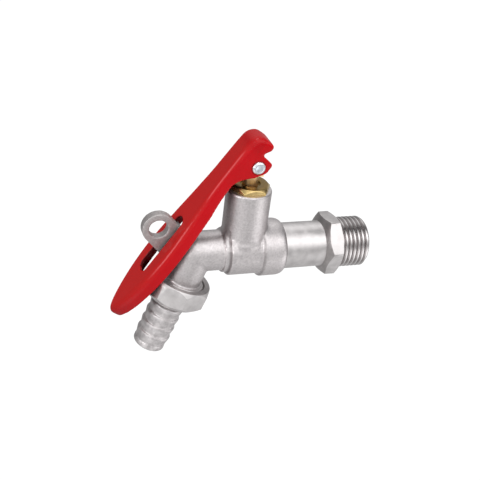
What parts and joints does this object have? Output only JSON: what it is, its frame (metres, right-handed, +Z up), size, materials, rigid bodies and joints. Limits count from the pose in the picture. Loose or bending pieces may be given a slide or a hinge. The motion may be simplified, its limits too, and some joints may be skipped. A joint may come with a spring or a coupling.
{
  "type": "lockable ball bibcock",
  "caption": "Quarter-turn ball bibcock with a lift-up steel lever, an ear for a padlock, a male inlet thread and a barbed hose tail on a union nut.",
  "frame": {"origin": "centre of the inlet hexagon's shoulder face, where the inlet thread starts, on the inlet axis", "axes": "+X out along the inlet thread, +Z up along the stem, the spout towards -X and the pictured side towards -Y"},
  "size_m": [0.1053, 0.0278, 0.0958],
  "materials": {
    "nickel_brass": "satin nickel plate on cast brass",
    "bare_brass": "bright turned",
    "ball_chrome": "polished plate",
    "red_enamel": "gloss enamel on pressed steel",
    "zinc_steel": "zinc plated",
    "white_seal": "smooth fluoropolymer",
    "black_seal": "smooth"
  },
  "bodies": {
    "tap_body": {"valve_body": "nickel_brass", "inlet_connector": "nickel_brass", "body_seal": "black_seal", "inlet_seat": "white_seal", "outlet_seat": "white_seal", "thrust_washer": "white_seal", "packing_lower": "white_seal", "packing_upper": "white_seal", "gland_follower": "bare_brass", "gland_nut": "bare_brass"},
    "stem_and_ball": {"stem": "bare_brass", "ball": "ball_chrome"},
    "lever_and_rivet": {"lever": "red_enamel", "pivot_rivet": "zinc_steel"},
    "tail_and_washer": {"hose_tail": "nickel_brass", "tail_washer": "black_seal"},
    "nut": {"union_nut": "nickel_brass"}
  },
  "joints": [
    {"name": "stem_turn", "type": "hinge", "parent": "tap_body", "child": "stem_and_ball", "pos_m": [-0.0402, 0, 0], "axis": [0, 0, 1], "range_deg": [-1, 1]},
    {"name": "lever_lift", "type": "hinge", "parent": "stem_and_ball", "child": "lever_and_rivet", "pos_m": [-0.0396, 0, 0.0386], "axis": [0, 1, 0], "range_deg": [0, 105]},
    {"name": "tail_slide", "type": "slide", "parent": "tap_body", "child": "tail_and_washer", "axis": [-0.3469, 0, -0.9379], "range_m": [0, 0.00544]},
    {"name": "nut_turn", "type": "hinge", "parent": "tail_and_washer", "child": "nut", "pos_m": [-0.0653, 0, -0.01407], "axis": [-0.3469, 0, -0.9379], "range_deg": [0, 1080]}
  ],
  "couplings": [
    {"joint": "tail_slide", "follows": "nut_turn", "m_per_rad": 0.00028871}
  ]
}
